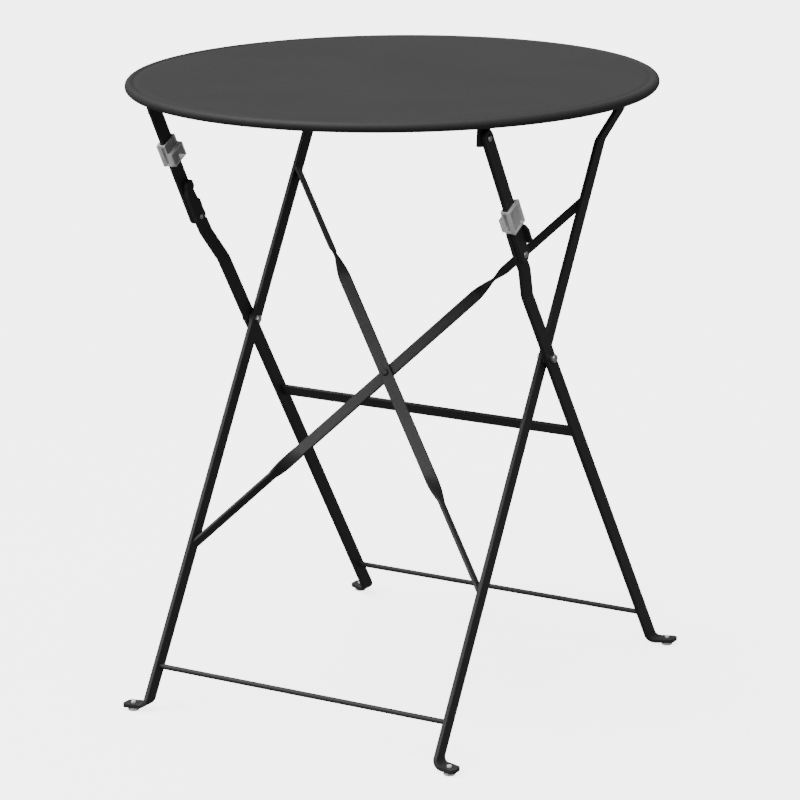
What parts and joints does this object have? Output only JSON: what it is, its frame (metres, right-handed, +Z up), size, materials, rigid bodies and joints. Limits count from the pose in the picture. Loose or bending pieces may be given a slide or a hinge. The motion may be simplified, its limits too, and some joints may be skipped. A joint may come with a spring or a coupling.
{
  "type": "folding bistro table",
  "caption": "Round folding table: dark sheet-steel top on two crossed flat-bar leg frames with an X brace, locking links and sliding clips.",
  "frame": {"origin": "on the floor, straight under the centre of the round top", "axes": "+Z up; X along the cross rods; +Y towards the outer frame's feet at the back; the inner frame's feet are at the front, -Y"},
  "size_m": [0.595, 0.595, 0.71],
  "materials": {
    "top_coat": "matt dark grey powder coat with a fine texture",
    "frame_coat": "satin near-black powder coat",
    "zinc_steel": "bright zinc plating",
    "clear_plastic": "translucent grey moulded plastic"
  },
  "bodies": {
    "tabletop": {"top_panel": "top_coat", "top_rail_left": "frame_coat", "top_rail_right": "frame_coat", "front_pivot_rivets": "zinc_steel", "rear_pivot_rivets": "zinc_steel"},
    "inner_frame": {"inner_leg_left": "frame_coat", "inner_leg_right": "frame_coat", "inner_foot_rod": "frame_coat", "brace_front": "frame_coat", "brace_rear": "frame_coat", "brace_rivet": "frame_coat", "scissor_nuts": "zinc_steel", "scissor_washers": "zinc_steel", "inner_glides": "clear_plastic"},
    "outer_frame": {"outer_leg_left": "frame_coat", "outer_leg_right": "frame_coat", "outer_foot_rod": "frame_coat", "outer_cross_bar": "frame_coat", "scissor_bolts": "zinc_steel", "knee_rivets": "zinc_steel", "outer_glides": "clear_plastic"},
    "link_left": {"link_left": "frame_coat"},
    "link_right": {"link_right": "frame_coat"},
    "lock_clip_left": {"lock_clip_left": "clear_plastic"},
    "lock_clip_right": {"lock_clip_right": "clear_plastic"}
  },
  "joints": [
    {"name": "rear_pivot", "type": "hinge", "parent": "tabletop", "child": "inner_frame", "pos_m": [0, 0.167, 0.691], "axis": [-1, 0, 0], "range_deg": [0, 44.6]},
    {"name": "front_pivot_left", "type": "hinge", "parent": "tabletop", "child": "link_left", "pos_m": [0, -0.1602, 0.684], "axis": [1, 0, 0], "range_deg": [0, 56.11]},
    {"name": "front_pivot_right", "type": "hinge", "parent": "tabletop", "child": "link_right", "pos_m": [0, -0.1602, 0.684], "axis": [1, 0, 0], "range_deg": [0, 56.11]},
    {"name": "knee_pivot", "type": "hinge", "parent": "link_left", "child": "outer_frame", "pos_m": [0, -0.083, 0.54454], "axis": [-1, 0, 0], "range_deg": [0, 154.75]},
    {"name": "clip_slide_left", "type": "slide", "parent": "link_left", "child": "lock_clip_left", "axis": [0, -0.4843, 0.8749], "range_m": [-0.029, 0.034]},
    {"name": "clip_slide_right", "type": "slide", "parent": "link_right", "child": "lock_clip_right", "axis": [0, -0.4843, 0.8749], "range_m": [0, 0.076]}
  ],
  "couplings": [
    {"joint": "front_pivot_left", "follows": "rear_pivot", "ratio": 1.2571},
    {"joint": "front_pivot_right", "follows": "rear_pivot", "ratio": 1.2571},
    {"joint": "knee_pivot", "follows": "rear_pivot", "ratio": 3.4669}
  ]
}
